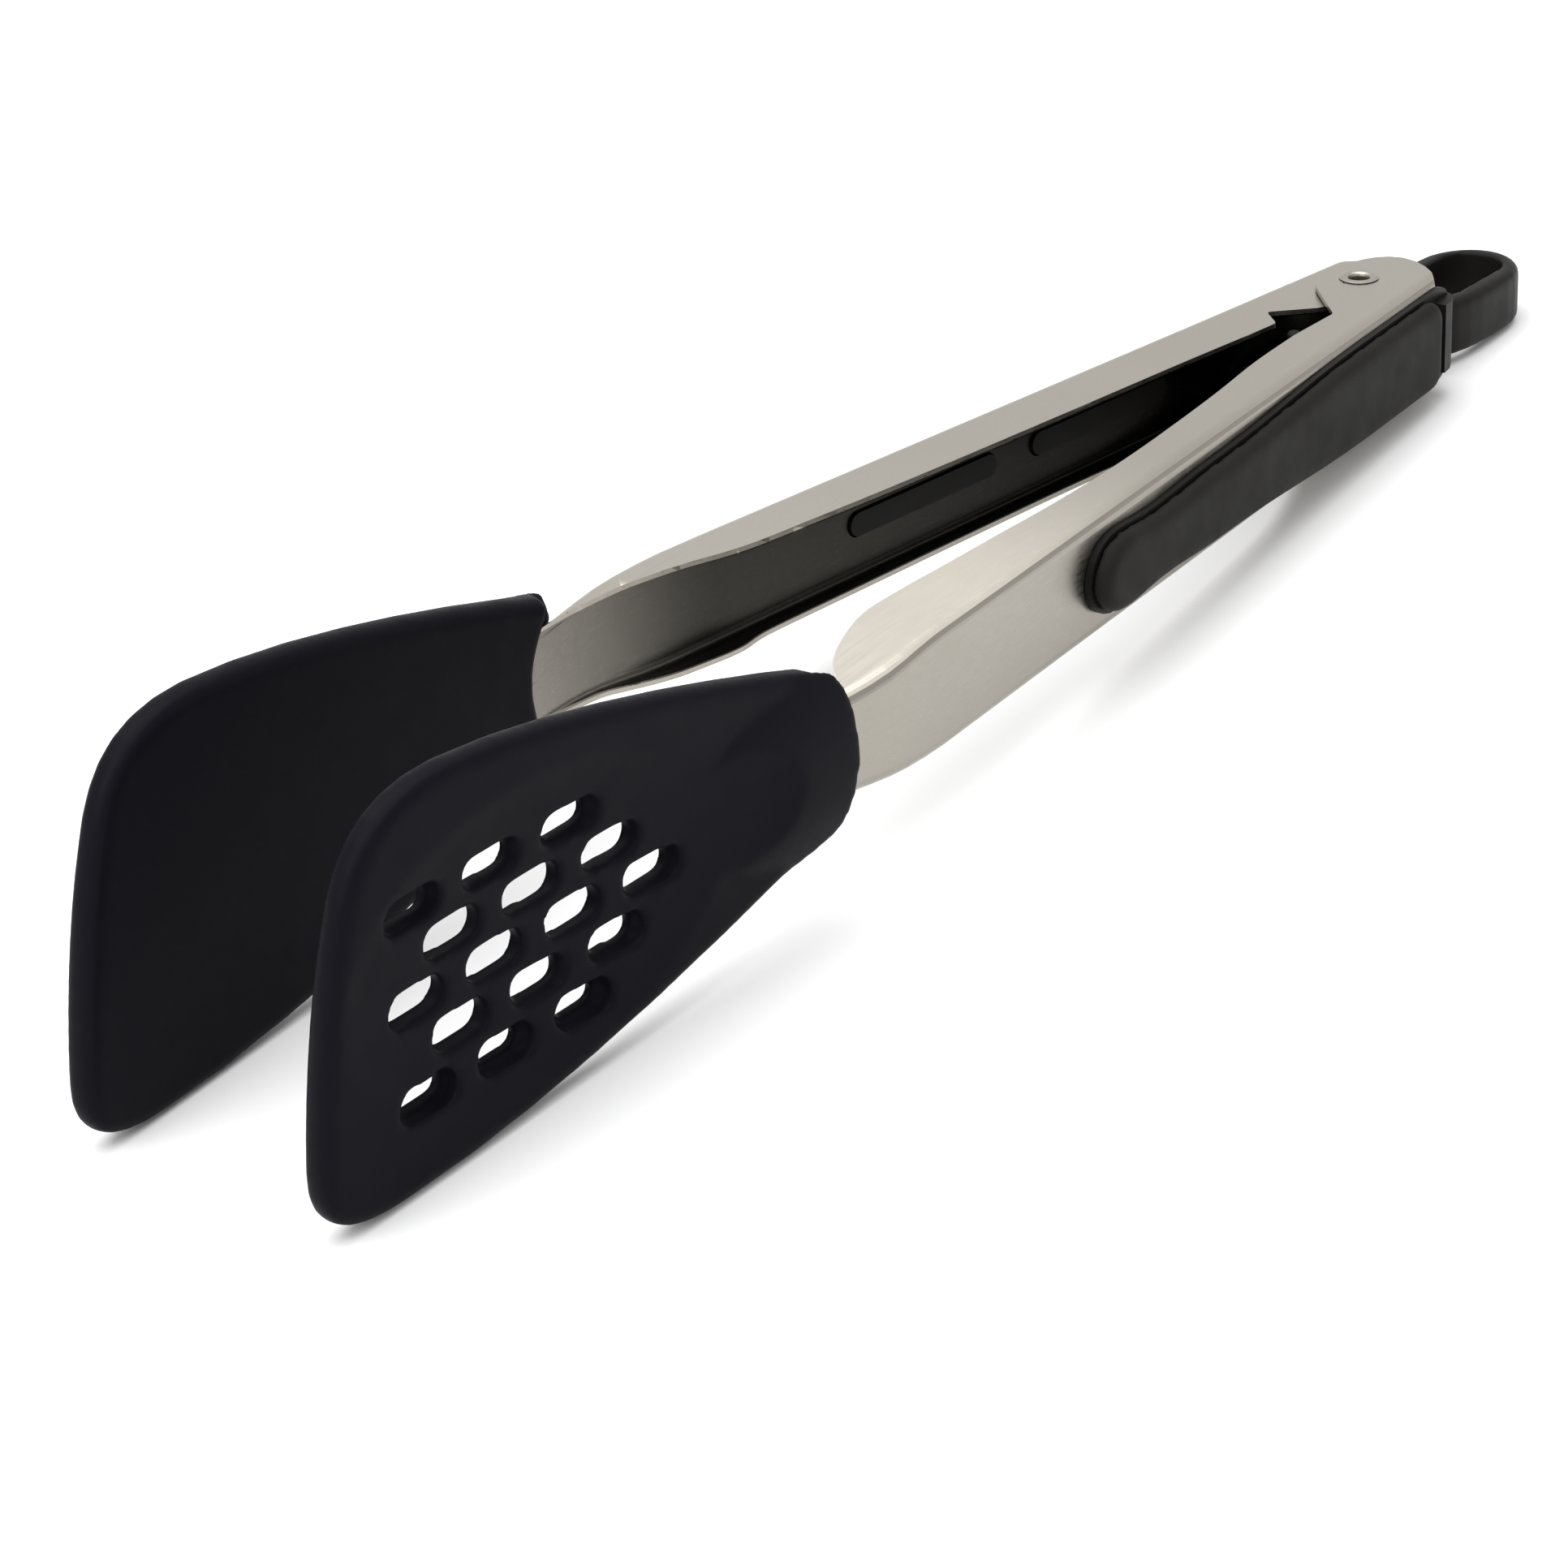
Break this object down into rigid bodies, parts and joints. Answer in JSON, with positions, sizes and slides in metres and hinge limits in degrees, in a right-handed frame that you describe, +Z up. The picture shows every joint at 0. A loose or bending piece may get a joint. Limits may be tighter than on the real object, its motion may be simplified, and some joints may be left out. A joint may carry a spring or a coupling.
{
  "type": "kitchen tongs",
  "caption": "Spring-loaded turner tongs: channel steel arms on a hollow rivet, silicone turner blades, soft grips and a pull loop that slides a locking bar.",
  "frame": {"origin": "centre of the bounding box in plan, on the table the tongs lie on", "axes": "+X from the blades towards the hanging loop, +Y from the slotted blade's arm to the solid blade's arm, +Z up from the table; the tongs lie at rest on the blades' lower corners and the loop's end, so the swing plane leans nose-up by 3.75 degrees"},
  "size_m": [0.3308, 0.0574, 0.0554],
  "materials": {
    "arm_steel": "fine satin grain along the arms",
    "pin_steel": "drawn and turned steel",
    "silicone": "moulded silicone, soft sheen",
    "soft_grip": "soft matte moulded grip",
    "hard_plastic": "satin moulded plastic",
    "sleeve_plastic": "natural acetal"
  },
  "bodies": {
    "pivot": {"pivot_rivet": "pin_steel", "pivot_sleeve": "sleeve_plastic", "torsion_spring": "pin_steel"},
    "outer_arm": {"outer_arm": "arm_steel", "slotted_blade": "silicone", "outer_grip_carrier": "hard_plastic", "outer_grip_pad": "soft_grip"},
    "inner_arm": {"inner_arm": "arm_steel", "solid_blade": "silicone", "inner_grip_carrier": "hard_plastic", "inner_grip_pad": "soft_grip"},
    "lock_slider": {"slider_plate": "hard_plastic", "lock_bar": "hard_plastic", "pull_loop": "hard_plastic"}
  },
  "joints": [
    {"name": "outer_arm_swing", "type": "hinge", "parent": "pivot", "child": "outer_arm", "pos_m": [0.11905, 0, 0.01142], "axis": [-0.0654, 0, -0.9979], "range_deg": [0, 3.65], "stiffness_Nm_per_rad": 1, "springref_deg": -17.19, "deforming": ["torsion_spring"]},
    {"name": "inner_arm_swing", "type": "hinge", "parent": "pivot", "child": "inner_arm", "pos_m": [0.11905, 0, 0.01142], "axis": [0.0654, 0, 0.9979], "range_deg": [0, 3.65], "stiffness_Nm_per_rad": 1, "springref_deg": -17.19, "deforming": ["torsion_spring"]},
    {"name": "lock_slide", "type": "slide", "parent": "pivot", "child": "lock_slider", "axis": [0.9979, 0, -0.0654], "range_m": [0, 0.0065]}
  ],
  "couplings": [
    {"joint": "inner_arm_swing", "follows": "outer_arm_swing", "ratio": 1}
  ]
}
